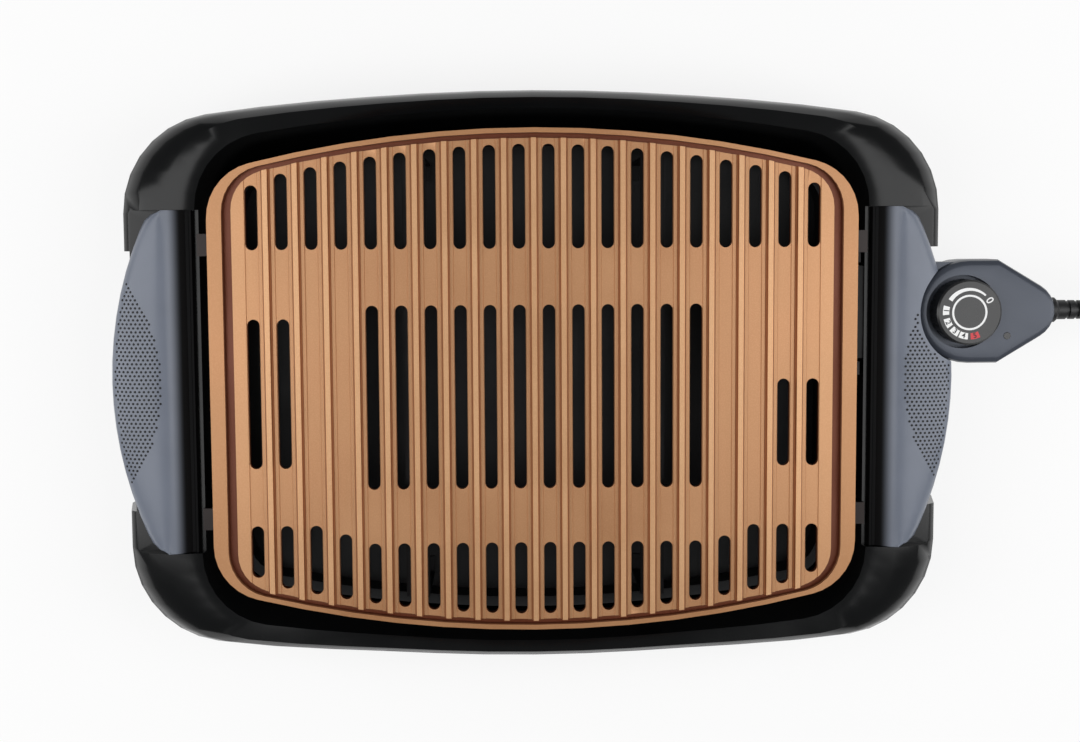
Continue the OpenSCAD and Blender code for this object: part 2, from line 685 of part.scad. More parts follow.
module terminal_bracket() {
  ear_z = pin_z - bracket_h / 2;
  color(steel) difference() {
    union() {
      translate([bracket_x, control_y - bracket_half, ear_z]) cube([bracket_t, 2 * bracket_half, bracket_h]);
      for (sy = [-1, 1]) translate([bracket_x, control_y + sy * bracket_half - bracket_t / 2, ear_z])
        cube([basin_wall_x - bracket_x, bracket_t, bracket_h]);
      for (sy = [-1, 1]) translate([basin_wall_x - bracket_t,
        control_y + sy * (bracket_half + ear_w / 2) - ear_w / 2, ear_z])
        cube([bracket_t, ear_w, bracket_h]);
    }
    each_pin() translate([0, 0, bracket_x - 1]) cylinder(r = bushing_r - 0.8 + fit, h = 6);
    for (sy = [-1, 1]) along_x(basin_wall_x - 4, control_y + sy * ear_screw_y, pin_z)
      cylinder(r = ear_screw_r, h = 8);
    along_x(bracket_x - 1, control_y, pin_z) cylinder(r = probe_r + 2 * slide_gap, h = 6);
  }
}
function basin_x(z) = basin_mid[0] + (basin_hx - basin_mid[0]) * (z - wide_z) / (rim_corner_z - rim_bevel - wide_z);
basin_wall_x = basin_x(pin_z - bracket_h / 2) - 0.1;
module bracket_screws() {
  color(steel) for (sy = [-1, 1])
    along_x(basin_wall_x - bracket_t - 2, control_y + sy * ear_screw_y, pin_z) {
      cylinder(r = ear_screw_r + 0.9, h = 2);
      translate([0, 0, 1]) cylinder(r = ear_screw_r - 0.1, h = bracket_t + 0.9);
    }
}

// Control housing
round_x = dial_x + 2.1;
nose_x = round_x + nose_reach;
shoulder_x = round_x + 15;
socket_w = 47;
socket_h = 13;
socket_x0 = basin_hx - 5.5;
socket_x1 = base_hx - 14.6;
neck_x = recess_x + 5;
neck_low_z = pin_z - socket_h / 2 - housing_t - fit;
neck_top_z = seat_z - slide_gap;
// The tangent line from the shoulder to the nose makes the taper.
function taper_a(r1, r2) =
  let (d = [nose_x - shoulder_x, -r1], l = norm(d)) 90 - (atan2(r1, d[0]) - asin(r2 / l));
function control_outline(t) =
  let (r1 = control_r - t, r2 = nose_r - t, a = taper_a(r1, r2), n = 9)
  concat(
    [for (i = [0 : n]) let (b = -a + 2 * a * i / n) [nose_x + r2 * cos(b), control_y + r2 * sin(b)]],
    [[shoulder_x, control_y + r1]],
    [for (i = [0 : 2 * n]) let (b = 90 + 180 * i / (2 * n)) [round_x + r1 * cos(b), control_y + r1 * sin(b)]],
    [[shoulder_x, control_y - r1]]);
function control_ring(t, z) = [for (p = control_outline(t)) [p[0], p[1], z]];
module inside(t, z0, z1) {
  translate([0, 0, z0]) linear_extrude(z1 - z0) polygon(control_outline(t));
}
post_r = 3.2;
post_xy = [[11.8, 19.9], [11.8, -19.9], [28.1, 9.3], [28.1, -9.3]];
module at_posts() {
  for (p = post_xy) translate([round_x + p[0], control_y + p[1], 0]) children();
}
well_x = dial_x - 1.2;
well_z = control_top_z - well_depth;
cup_t = 1.7;
lamp_x = round_x + 19.5;
lamp_y = control_y - 12.4;
lens_r = 1.7;
relief_flange_r = 6.4;
relief_neck_r = 4.9;
wall_x = nose_x + nose_r;
module relief_cut() {
  along_x(wall_x - housing_t - 2 - fit, control_y, parting_z) cylinder(r = relief_flange_r + fit, h = 2 + 2 * fit);
  along_x(wall_x - housing_t - 1, control_y, parting_z) cylinder(r = relief_neck_r + fit, h = 10);
}
module socket_space() {
  translate([neck_x - 1, control_y - socket_w / 2 - fit, pin_z - socket_h / 2 - fit])
    cube([socket_x1 - neck_x + 1 + fit, socket_w + 2 * fit, socket_h + 2 * fit]);
}
module neck(z0, z1) {
  half = control_r - 1.2;
  translate([neck_x, control_y - half, z0]) cube([round_x - neck_x, 2 * half, z1 - z0]);
}
module control_bottom() {
  color(gloss) difference() {
    union() {
      difference() {
        union() {
          skin([control_ring(3, control_bottom_z), control_ring(0.9, control_bottom_z + 1.3),
            control_ring(0, control_bottom_z + 4), control_ring(0, parting_z)]);
          neck(neck_low_z, parting_z);
        }
        inside(housing_t, control_bottom_z + housing_t, parting_z + 1);
      }
      at_posts() translate([0, 0, control_bottom_z + 1]) cylinder(r = post_r, h = parting_z - control_bottom_z - 1);
    }
    socket_space();
    tab_channel();
    relief_cut();
    at_posts() {
      translate([0, 0, control_bottom_z - 1]) cylinder(r = 1.3 + fit, h = 30);
      translate([0, 0, control_bottom_z - 1]) cylinder(r = 2.5, h = 4);
    }
  }
}
module control_top() {
  z1 = control_top_z;
  color(gloss) difference() {
    union() {
      difference() {
        union() {
          skin([control_ring(0, parting_z), control_ring(0, z1 - 3.4), control_ring(0.7, z1 - 1.3),
            control_ring(2, z1 - 0.3), control_ring(3.2, z1)]);
          neck(parting_z, neck_top_z);
        }
        inside(housing_t, parting_z - 1, z1 - housing_t);
      }
      translate([well_x, control_y, well_z - cup_t]) cylinder(r = well_r + cup_t, h = well_depth + cup_t - 1);
      at_posts() translate([0, 0, parting_z]) cylinder(r = post_r, h = z1 - 1 - parting_z);
      translate([lamp_x, lamp_y, z1 - 4]) cylinder(r = lens_r + 1.2, h = 3);
    }
    translate([well_x, control_y, well_z]) cylinder(r = well_r, h = 20);
    translate([dial_x, control_y, well_z - 10]) cylinder(r = spindle_d / 2 + running, h = 20);
    translate([lamp_x, lamp_y, z1 - 10]) cylinder(r = lens_r + fit, h = 20);
    socket_space();
    tab_channel();
    relief_cut();
    at_posts() translate([0, 0, parting_z - 1]) cylinder(r = 1.1, h = 9);
  }
}
module housing_screws() {
  color(steel) at_posts() {
    translate([0, 0, control_bottom_z + 1]) cylinder(r = 2.3, h = 2);
    translate([0, 0, control_bottom_z + 2]) cylinder(r = 1.1, h = parting_z + 7 - control_bottom_z - 2);
  }
}
module socket_block() {
  color(black) difference() {
    translate([socket_x0, control_y - socket_w / 2, pin_z - socket_h / 2])
      cube([socket_x1 - socket_x0, socket_w, socket_h]);
    each_pin() translate([0, 0, socket_x0 - 1]) cylinder(r = contact_r + running, h = 60);
    along_x(socket_x0 - 1, control_y, pin_z) cylinder(r = probe_r + running, h = 60);
    // Room for the cup of the dial's well
    translate([well_x, control_y, well_z - cup_t - fit]) cylinder(r = well_r + cup_t + fit, h = 20);
  }
}
contact_r = pin_r + 1.2;
contact_x0 = socket_x0 + 1;
contact_x1 = socket_x1 - 4;
// Behind the block a flat tab carries each contact's current to the middle of the housing.
tab_t = 0.8;
tab_x = socket_x1 + 2 * fit;
tab_h = 5;
tab_end_y = 4;
stem_r = 1.5;
channel_l = 3;
module tab_channel() {
  half = element_rear - control_y + 4;
  translate([socket_x1 - 1, control_y - half, pin_z - tab_h - 1]) cube([channel_l + 1, 2 * half, tab_h + 3]);
}
module socket_contacts() {
  reach = element_rear - control_y;
  color([0.8, 0.65, 0.35]) {
    each_pin() {
      difference() {
        translate([0, 0, contact_x0]) cylinder(r = contact_r, h = contact_x1 - contact_x0);
        translate([0, 0, contact_x0 - 1]) cylinder(r = pin_r + running, h = pin_end_x + 2 - contact_x0);
      }
      translate([0, 0, contact_x1 - 1]) cylinder(r = stem_r, h = tab_x + tab_t / 2 - contact_x1 + 1);
    }
    for (s = [-1, 1]) translate([tab_x, control_y + (s > 0 ? tab_end_y : -reach - stem_r), pin_z - tab_h + stem_r])
      cube([tab_t, reach + stem_r - tab_end_y, tab_h]);
  }
}
probe_end_x = socket_x1 - 0.6;
module sensor_probe() {
  color(steel) {
    translate([probe_tip_x + probe_r, control_y, pin_z]) sphere(probe_r);
    along_x(probe_tip_x + probe_r, control_y, pin_z) cylinder(r = probe_r, h = probe_end_x - probe_tip_x - probe_r);
  }
}
frame_x0 = dial_x - 13;
frame_x1 = dial_x + 11;
frame_z0 = control_bottom_z + housing_t + 0.1;
frame_top_z = well_z - cup_t - 0.3;
module thermostat_frame() {
  t = 1.2;
  color(steel) difference() {
    translate([frame_x0, control_y - 8, frame_z0]) cube([frame_x1 - frame_x0, 16, frame_top_z - frame_z0]);
    translate([frame_x0 - 1, control_y - 8 + t, frame_z0 + t])
      cube([frame_x1 - frame_x0 + 2, 16 - 2 * t, frame_top_z - frame_z0 - 2 * t]);
    translate([dial_x, control_y, frame_z0 + t + 1]) cylinder(r = spindle_d / 2 + running, h = 30);
  }
}
blade_z = frame_z0 + 5;
module contact_blades() {
  color([0.8, 0.65, 0.35]) {
    translate([frame_x0 + 1, control_y - 4, blade_z]) cube([22, 8, 0.6]);
    translate([frame_x0 + 1, control_y - 4, blade_z + 3]) cube([16, 8, 0.6]);
    translate([frame_x0 + 1, control_y - 5, frame_z0 + 1.2]) cube([5, 10, blade_z + 3.6 - frame_z0 + 1]);
    translate([frame_x0 + 15, control_y, blade_z + 0.5]) cylinder(r = 1.6, h = 2.6);
  }
}
lead_r = 1.1;
lead_y = 5;
module lead_wires() {
  x0 = frame_x1 + lead_r / 2;
  x1 = wall_x - housing_t - 2.3;
  x2 = tab_x + tab_t + lead_r / 2;
  z = blade_z;
  color([0.85, 0.85, 0.82]) for (s = [-1, 1]) {
    tube([[x0, control_y + 4 * s, z], [x0 + 6, control_y + 4 * s, z],
      [x1 - 6, control_y + 3.5 * s, parting_z - 4], [x1, control_y + 2 * s, parting_z]], lead_r, 8);
    tube([[x2, control_y + lead_y * s, pin_z - 1.5], [x2 + 1.5, control_y + lead_y * s, pin_z - 2],
      [x2 + 4.5, control_y + lead_y * s, blade_z + 1], [frame_x0 + 0.6, control_y + lead_y * s, blade_z]],
      lead_r, 8);
  }
}
module indicator_lamp() {
  color([0.9, 0.6, 0.4]) translate([lamp_x, lamp_y, parting_z - 2]) cylinder(r = 2.4, h = control_top_z - 4 - parting_z + 1.9);
}
module indicator_lens() {
  color([0.35, 0.36, 0.4]) translate([lamp_x, lamp_y, control_top_z - 3.8]) cylinder(r = lens_r, h = 4);
}

// Dial
dial_low_z = well_z + 0.6;
dial_top_z = control_top_z + dial_proud;
module dial_spindle() {
  z0 = frame_z0 + 1.2 + 8.2;
  color(steel) translate([dial_x, control_y, z0]) cylinder(r = spindle_d / 2, h = dial_top_z - 4 - z0);
}
module temperature_dial() {
  grips = 24;
  color(black) translate([dial_x, control_y, 0]) difference() {
    rotate_extrude($fn = 96) polygon([
      [spindle_d / 2 + 0.02, dial_low_z], [spindle_d / 2 + 4, dial_low_z],
      [spindle_d / 2 + 4, dial_top_z - 3], [dial_r - 1.6, dial_top_z - 3], [dial_r - 1.6, dial_low_z],
      [dial_r, dial_low_z], [dial_r, dial_top_z - 0.9], [dial_r - 0.9, dial_top_z],
      [0, dial_top_z], [0, dial_top_z - 3.9], [spindle_d / 2 + 0.02, dial_top_z - 3.9]]);
    for (i = [0 : grips - 1]) rotate([0, 0, (i + 0.5) * 360 / grips])
      translate([dial_r + 1.1, 0, dial_low_z - 1]) cylinder(r = 1.5, h = dial_top_z - dial_low_z - 1.6, $fn = 24);
  }
}

// Strain relief and cord
sleeve_x0 = wall_x + 0.1;
sleeve_x1 = wall_x + sleeve_len;
cord_r = cord_d / 2;
module strain_relief() {
  ribs = 6;
  rib_pitch = (sleeve_len - 10) / ribs;
  inner = [[0, -housing_t - 2], [relief_flange_r, -housing_t - 2], [relief_flange_r, -housing_t],
    [relief_neck_r, -housing_t], [relief_neck_r, 0.1], [relief_flange_r, 0.1],
    [relief_flange_r, 3], [relief_neck_r + 0.1, 4.5]];
  grooves = [for (i = [0 : ribs - 1]) let (x = 6 + i * rib_pitch, r = 5 - 0.08 * i)
    each [[r, x], [r, x + 0.6 * rib_pitch], [r - 1, x + 0.6 * rib_pitch], [r - 1, x + rib_pitch - 0.4]]];
  color(black) along_x(wall_x, control_y, parting_z) rotate_extrude()
    polygon(concat(inner, grooves, [[4.4, sleeve_len - 3.4], [4.4, sleeve_len], [0, sleeve_len]]));
}

// The cord leaves the sleeve, drops to the table and enters the stored coil.
rest_z = tie_t + 0.3 + cord_r;
cord_route = [[18, 0, 0], [31, 0, -2], [43, 0, -8], [54, 0, -16.5], [65, 0, -26.5], [76, -0.3, -36],
  [87, -0.8, -43.5], [98, -1.4, -49], [108, -1.8, -51.8], [118, -2, rest_z - parting_z], [128, -2, rest_z - parting_z]];
start = [sleeve_x1, control_y, parting_z];
route = concat([start, start + [7, 0, 0]], [for (p = cord_route) start + p]);
cord_end = route[len(route) - 1];
coil_start = [cord_end[0] + cord_d, control_y - 2, rest_z];

// The coil: a lower layer spirals in, climbs a layer in half a turn and an upper
// layer spirals out. Its radius changes by one pitch a turn.
turn_pitch = cord_d + turn_gap;
lower_turns = 1.5;
climb_turns = 0.5;
upper_turns = 1.25;
coil_turns = lower_turns + climb_turns + upper_turns;
coil_outer_r = coil_inner_r + turn_pitch * lower_turns;
coil_c = [coil_start[0], coil_start[1] - coil_outer_r];
climb_h = cord_d + turn_gap;
function coil_r(t) =
  t < lower_turns ? coil_outer_r - turn_pitch * t
  : t < lower_turns + climb_turns / 2 ? coil_inner_r - turn_pitch * (t - lower_turns)
  : coil_inner_r + turn_pitch * (t - lower_turns - climb_turns);
function coil_z(t) = rest_z + climb_h * smooth((t - lower_turns) / climb_turns);
function coil_p(t) = [coil_c[0] + coil_r(t) * cos(90 - 360 * t), coil_c[1] + coil_r(t) * sin(90 - 360 * t), coil_z(t)];
rings_a_turn = 24;
coil_steps = coil_turns * rings_a_turn;
coil_last = coil_p(coil_turns);
coil_path = concat([coil_start - [cord_d, 0, 0]],
  [for (i = [0 : coil_steps]) coil_p(i / rings_a_turn)],
  [coil_last - [0, cord_d, 0]]);
least_gap = min([for (i = [0 : coil_steps], j = [0 : coil_steps]) if (j - i > rings_a_turn / 3)
  norm(coil_p(i / rings_a_turn) - coil_p(j / rings_a_turn))]) - cord_d;
function path_len(p) = len(p) < 2 ? 0
  : [for (i = 1, s = norm(p[1] - p[0]); i < len(p); i = i + 1, s = i < len(p) ? s + norm(p[i] - p[i - 1]) : s) s][len(p) - 2];

module power_cord() {
  color(black) tube(route, cord_r, 8);
}
module cord_coil() {
  color(black) tube(coil_path, cord_r, 6);
}
tail_start = coil_last - [0, cord_d, 0];
plug_z = 8;
tail_route = [[0, -8, -0.4], [0, -17, -1.7], [0, -26, -3], [0, -35, plug_z - coil_last[2]], [0, -42, plug_z - coil_last[2]]];
tail_path = concat([tail_start], [for (p = tail_route) tail_start + p]);
tail_end = tail_path[len(tail_path) - 1];
module cord_tail() {
  color(black) tube(tail_path, cord_r, 8);
}
module cord_tie() {
  r0 = coil_inner_r - 0.25 * turn_pitch - cord_r - 0.5;
  r1 = coil_inner_r + 0.75 * turn_pitch + cord_r + 0.5;
  z1 = rest_z + climb_h + cord_r + 0.4;
  color(gloss) translate([coil_c[0] - r1 - tie_t, coil_c[1] - 4, 0]) difference() {
    cube([r1 - r0 + 2 * tie_t, 8, z1 + tie_t]);
    translate([tie_t, -1, tie_t]) cube([r1 - r0, 10, z1 - tie_t]);
  }
}
module plug_body() {
  w = 25;
  h = 2 * plug_z - 1;
  color(black) translate([tail_end[0], tail_end[1], plug_z]) rotate([90, 0, 0]) skin([
    for (s = [[0, 5, 4.4], [8, 5.4, 4.8], [14, w / 2 - 1.5, h / 2 - 0.8], [plug_len - 3, w / 2, h / 2], [plug_len, w / 2 - 1, h / 2 - 1]])
      [for (k = [0 : 23]) let (a = 360 * (k + 0.5) / 24, c = cos(a), d = sin(a), q = 0.6)
        [s[1] * sign(c) * pow(abs(c), q), s[2] * sign(d) * pow(abs(d), q), s[0]]]]);
}
module plug_blades() {
  color(steel) for (sx = [-1, 1])
    translate([tail_end[0] + sx * blade_pitch / 2 - 0.75, tail_end[1] - plug_len - 17, plug_z - 3.15])
      cube([1.5, 17, 6.3]);
}
echo(least_gap = least_gap, cord = path_len(route) + cord_d, coil = path_len(coil_path),
  tail = path_len(tail_path), coil_diameters = 2 * (coil_inner_r + coil_outer_r) / 2 / cord_d);

base_shell();
left_handle();
right_handle();
handle_screws();
rubber_feet();
foot_screws();
drip_tray();
element_strap_left();
element_strap_right();
heating_element();
element_clips();
terminal_pins();
terminal_bushings();
terminal_bracket();
bracket_screws();
grill_plate();
control_top();
control_bottom();
housing_screws();
socket_block();
socket_contacts();
sensor_probe();
thermostat_frame();
contact_blades();
lead_wires();
indicator_lamp();
indicator_lens();
dial_spindle();
temperature_dial();
strain_relief();
power_cord();
cord_coil();
cord_tail();
cord_tie();
plug_body();
plug_blades();
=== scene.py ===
# %% [markdown]
# # An electric indoor grill
#
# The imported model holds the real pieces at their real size. This lesson dresses them: it opens
# the frame, sets the camera, lays the mains lead, gives every piece its finish and adds the small
# things that a mould or a printing press leaves behind.

# %% Open the frame
import json
import math

import bmesh
import bpy
from mathutils import Matrix, Vector
from mathutils.bvhtree import BVHTree


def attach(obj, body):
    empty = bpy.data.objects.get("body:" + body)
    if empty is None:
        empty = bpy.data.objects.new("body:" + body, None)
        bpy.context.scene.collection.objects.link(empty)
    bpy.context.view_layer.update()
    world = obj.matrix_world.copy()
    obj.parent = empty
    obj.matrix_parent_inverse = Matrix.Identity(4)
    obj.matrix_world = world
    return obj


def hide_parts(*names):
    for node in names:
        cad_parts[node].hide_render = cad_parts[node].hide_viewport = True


MM = 0.001
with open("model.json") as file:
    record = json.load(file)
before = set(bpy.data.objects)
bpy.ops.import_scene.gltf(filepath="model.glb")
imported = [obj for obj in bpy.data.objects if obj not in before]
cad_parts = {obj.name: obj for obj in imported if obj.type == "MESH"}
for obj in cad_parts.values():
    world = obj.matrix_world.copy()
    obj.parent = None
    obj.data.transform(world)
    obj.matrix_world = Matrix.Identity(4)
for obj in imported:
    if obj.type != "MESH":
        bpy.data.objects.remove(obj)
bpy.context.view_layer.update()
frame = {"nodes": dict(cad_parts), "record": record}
nodes = frame["nodes"]
print("pieces in the frame:", len(nodes))


def placed(name, data):
    """A new object with that data, linked into the scene."""
    piece = bpy.data.objects.new(name, data)
    bpy.context.collection.objects.link(piece)
    return piece


def new_mesh(name, net):
    """A mesh made from the net, which is then freed."""
    mesh = bpy.data.meshes.new(name)
    net.to_mesh(mesh)
    net.free()
    return mesh


# %% [markdown]
# ## The camera
#
# The photograph looks almost straight down from 0.8 m above the plate. Its small tilt decides
# which walls of the basin show, so the three angles are set one by one. The angles turn the world
# into the camera's view, and the camera needs the opposite turn, which is the transpose.

# %% Camera
FOCAL_PX = 1600
FRAME_W_PX = 1080
SENSOR_MM = 36
CAMERA_PLACE = Vector((-15.05, 75.55, 876.3)) * MM
TILT_DEG = {"X": 5.041, "Y": 1.269, "Z": 0.449}
tilt = {axis: Matrix.Rotation(math.radians(angle), 3, axis) for axis, angle in TILT_DEG.items()}
to_view = tilt["Z"] @ tilt["Y"] @ tilt["X"]
camera_data = bpy.data.cameras.new("camera")
camera_data.sensor_width = SENSOR_MM
camera_data.lens = FOCAL_PX / FRAME_W_PX * SENSOR_MM
camera = placed("camera", camera_data)
camera.matrix_world = Matrix.Translation(CAMERA_PLACE) @ to_view.transposed().to_4x4()
bpy.context.scene.camera = camera
print("lens in mm:", round(camera_data.lens, 2))


# %% [markdown]
# ## The mains lead
#
# A lead is a fixed length of something flexible. It leaves the sleeve level, sags to the table and
# ends in the coil that it is stored in: a lower layer winds in, climbs in half a turn, and an upper
# layer winds out. A curve with a round bevel keeps the thickness even, so the lead is one curve
# through the points of the route.

# %% The route of the lead
CORD_D = 7 * MM
TURN_PITCH = 7.5 * MM
REST_Z = 4.6 * MM
PARTING_Z = 57 * MM
CONTROL_Y = 33 * MM
SLEEVE_END_X = 303.3 * MM
# Steps from the sleeve's end in millimetres: level at first, then down to the table.
SAG = [(7, 0, 0), (18, 0, 0), (31, 0, -2), (43, 0, -8), (54, 0, -16.5), (65, 0, -26.5),
       (76, -0.3, -36), (87, -0.8, -43.5), (98, -1.4, -49), (108, -1.8, -51.8),
       (118, -2, -52.4), (128, -2, -52.4)]
LOWER_TURNS, CLIMB_TURNS, UPPER_TURNS = 1.5, 0.5, 1.25
COIL_INNER_R = 34.5 * MM
COIL_OUTER_R = COIL_INNER_R + TURN_PITCH * LOWER_TURNS
POINTS_A_TURN = 24
sleeve_end = Vector((SLEEVE_END_X, CONTROL_Y, PARTING_Z))
sag_route = [sleeve_end] + [sleeve_end + Vector(p) * MM for p in SAG]
coil_start = Vector((sag_route[-1].x + CORD_D, CONTROL_Y + SAG[-1][1] * MM, REST_Z))
coil_centre = Vector((coil_start.x, coil_start.y - COIL_OUTER_R, 0))


def smooth(t):
    """An even start and stop between 0 and 1."""
    t = min(max(t, 0), 1)
    return t * t * (3 - 2 * t)


def coil_point(turns):
    """The middle of the lead after that many turns of the coil."""
    if turns < LOWER_TURNS:
        r = COIL_OUTER_R - TURN_PITCH * turns
    elif turns < LOWER_TURNS + CLIMB_TURNS / 2:
        r = COIL_INNER_R - TURN_PITCH * (turns - LOWER_TURNS)
    else:
        r = COIL_INNER_R + TURN_PITCH * (turns - LOWER_TURNS - CLIMB_TURNS)
    angle = math.radians(90 - 360 * turns)
    z = REST_Z + TURN_PITCH * smooth((turns - LOWER_TURNS) / CLIMB_TURNS)
    return Vector((coil_centre.x + r * math.cos(angle), coil_centre.y + r * math.sin(angle), z))


coil_turns = LOWER_TURNS + CLIMB_TURNS + UPPER_TURNS
coil_route = [coil_point(i / POINTS_A_TURN) for i in range(round(coil_turns * POINTS_A_TURN) + 1)]
tail_start = coil_route[-1] + Vector((0, -CORD_D, 0))
# Steps from the coil's end in millimetres: down from the upper layer, then level into the plug.
TAIL = [(0, -8, -0.4), (0, -17, -1.7), (0, -26, -3)]
PLUG_STEPS_Y = (-35, -42)
PLUG_Z = 8 * MM
tail_route = [tail_start] + [tail_start + Vector(p) * MM for p in TAIL]
for step_y in PLUG_STEPS_Y:
    tail_route.append(Vector((tail_start.x, tail_start.y + step_y * MM, PLUG_Z)))
lead_route = sag_route + coil_route + tail_route


# %% The lead as a curve
def tube_curve(name, points, radius, sides):
    """An open curve through the points with a round section.

    A curve's bound box counts each point's radius, so the size is set there and the bevel is 1.
    """
    curve = bpy.data.curves.new(name, "CURVE")
    curve.dimensions = "3D"
    curve.bevel_depth = 1.0
    curve.bevel_resolution = sides
    curve.use_fill_caps = True
    spline = curve.splines.new("POLY")
    spline.points.add(len(points) - 1)
    for spot, point in zip(spline.points, points):
        spot.co = (*point, 1)
        spot.radius = radius
    spline.use_smooth = True
    return placed(name, curve)


LEAD_SIDES = 4
mains_lead = tube_curve("mains_lead", lead_route, CORD_D / 2, LEAD_SIDES)
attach(mains_lead, "control")
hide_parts("power_cord", "cord_coil", "cord_tail")


# %% [markdown]
# ## Finishes
#
# A finish starts from what the real thing is. Colours are written as they look on a screen, and
# one function turns them into the linear values that light is worked out in. One more function
# adds a shader node with its settings and links, so each finish reads as a short recipe.

# %% Colour and node helpers
def rgb(hex_code):
    """A screen colour such as #C08A5C as linear red, green, blue and alpha."""
    parts = [int(hex_code[i:i + 2], 16) / 255 for i in (1, 3, 5)]
    return (*((c / 12.92 if c <= 0.04045 else ((c + 0.055) / 1.055) ** 2.4) for c in parts), 1)


def new_material(name):
    """An empty material with its output node."""
    material = bpy.data.materials.new(name)
    material.use_nodes = True
    material.node_tree.nodes.clear()
    return material


def add(material, kind, settings=None, **sockets):
    """A shader node with its settings, and each socket given a value or a link."""
    node = material.node_tree.nodes.new(kind)
    for key, value in (settings or {}).items():
        setattr(node, key, value)
    for key, value in sockets.items():
        socket = node.inputs[int(key[1:])] if key[0] == "_" else node.inputs[key.replace("_", " ")]
        if isinstance(value, bpy.types.NodeSocket):
            material.node_tree.links.new(value, socket)
        else:
            socket.default_value = value
    return node


def surface(material, shader):
    """Links the shader to the material's output."""
    output = material.node_tree.nodes.new("ShaderNodeOutputMaterial")
    material.node_tree.links.new(shader.outputs[0], output.inputs["Surface"])
    return material


# %% [markdown]
# Most finishes here share one build: a body colour that drifts a little over some centimetres, a
# roughness that drifts with it, and a fine grain in the bump. What differs is the scale of the
# grain, in millimetres, and how far each one goes.

# %% The shared recipe
BUMP_DEPTH = 0.1 * MM
# Nearly all of a noise texture lies between these two values.
NOISE_SPAN = (0.3, 0.7)


def grained(name, low, high, rough, grain_mm, bump, patch_mm=30, **shader_values):
    """A finish between two colours with a grain of that size, and its roughness as two limits."""
    material = new_material(name)
    place = add(material, "ShaderNodeTexCoord").outputs["Object"]
    patches = add(material, "ShaderNodeTexNoise", Vector=place, Scale=1 / (patch_mm * MM),
                  Detail=4.0)
    grain = add(material, "ShaderNodeTexNoise", Vector=place, Scale=1 / (grain_mm * MM), Detail=2.0)
    colour = add(material, "ShaderNodeMix", {"data_type": "RGBA"}, _0=patches.outputs["Fac"],
                 _6=rgb(low), _7=rgb(high))
    roughness = add(material, "ShaderNodeMapRange", Value=patches.outputs["Fac"],
                    From_Min=NOISE_SPAN[0], From_Max=NOISE_SPAN[1], To_Min=rough[0],
                    To_Max=rough[1])
    relief = add(material, "ShaderNodeBump", Height=grain.outputs["Fac"], Strength=bump,
                 Distance=BUMP_DEPTH)
    shader = add(material, "ShaderNodeBsdfPrincipled", Base_Color=colour.outputs[2],
                 Roughness=roughness.outputs[0], Normal=relief.outputs[0], **shader_values)
    return surface(material, shader)


# %% [markdown]
# **The plate** is cast aluminium under a sprayed ceramic coat with copper-coloured mica. The coat
# is half metal to the eye: it shines in broad streaks, and close up it sparkles in fine specks.
# Painted shade darkens it in the gutter, on the lugs and beside the ribs, so a tint follows the
# height.

# %% Copper coat
CLOUD_SIZE = 45 * MM
SPECK_SIZE = 0.7 * MM
SPECK_REACH = 0.6
SPECK_SHARE = 0.2
SHADE_Z = (74 * MM, 84 * MM)
# Heights in millimetres, each with the painted shade that the coat is multiplied by there.
SHADE_STEPS = [(75.4, "#1C0D07"), (75.9, "#8A5A40"), (78.4, "#8A5A40"), (79.3, "#E8DCD2"),
               (79.8, "#FFFFFF"), (80.05, "#EAE0D8"), (80.35, "#8A6048"), (80.9, "#A67A60"),
               (81.15, "#DCD0C4"), (81.35, "#DCD0C4"), (81.7, "#A67A60"), (82.8, "#B08468"),
               (83.25, "#FFFFFF")]


def paint_ramp(ramp, steps, span):
    """Sets a colour ramp from heights and tints over that span of heights."""
    while len(ramp.elements) < len(steps):
        ramp.elements.new(0.5)
    for element, (height, tint) in zip(ramp.elements, steps):
        element.position = (height * MM - span[0]) / (span[1] - span[0])
        element.color = rgb(tint)


def copper_coat():
    """The plate's coating, with painted shade that follows the height."""
    material = new_material("copper mica coating")
    place = add(material, "ShaderNodeTexCoord").outputs["Object"]
    cloud = add(material, "ShaderNodeTexNoise", Vector=place, Scale=1 / CLOUD_SIZE, Detail=5.0)
    specks = add(material, "ShaderNodeTexVoronoi", Vector=place, Scale=1 / SPECK_SIZE)
    height = add(material, "ShaderNodeSeparateXYZ", Vector=place).outputs["Z"]
    shade = add(material, "ShaderNodeMapRange", Value=height, From_Min=SHADE_Z[0],
                From_Max=SHADE_Z[1])
    # Painted shade: a ramp over the height darkens the coat in the gutter, on the lugs and beside
    # the ribs.
    painted_shade = add(material, "ShaderNodeValToRGB", Fac=shade.outputs[0])
    paint_ramp(painted_shade.color_ramp, SHADE_STEPS, SHADE_Z)
    tone = add(material, "ShaderNodeMix", {"data_type": "RGBA"}, _0=cloud.outputs["Fac"],
               _6=rgb("#BC8A60"), _7=rgb("#D3A67B"))
    speck_step = add(material, "ShaderNodeMapRange", Value=specks.outputs["Distance"], From_Min=0.0,
                     From_Max=SPECK_REACH, To_Min=SPECK_SHARE, To_Max=0.0)
    flecked = add(material, "ShaderNodeMix", {"data_type": "RGBA"}, _0=speck_step.outputs[0],
                  _6=tone.outputs[2], _7=rgb("#F0C49A"))
    colour = add(material, "ShaderNodeMix", {"data_type": "RGBA", "blend_type": "MULTIPLY"}, _0=1.0,
                 _6=flecked.outputs[2], _7=painted_shade.outputs["Color"])
    roughness = add(material, "ShaderNodeMapRange", Value=cloud.outputs["Fac"],
                    From_Min=NOISE_SPAN[0], From_Max=NOISE_SPAN[1], To_Min=0.3, To_Max=0.4)
    relief = add(material, "ShaderNodeBump", Height=specks.outputs["Distance"], Strength=0.1,
                 Distance=BUMP_DEPTH)
    shader = add(material, "ShaderNodeBsdfPrincipled", Base_Color=colour.outputs[2], Metallic=0.4,
                 Roughness=roughness.outputs[0], Normal=relief.outputs[0])
    return surface(material, shader)
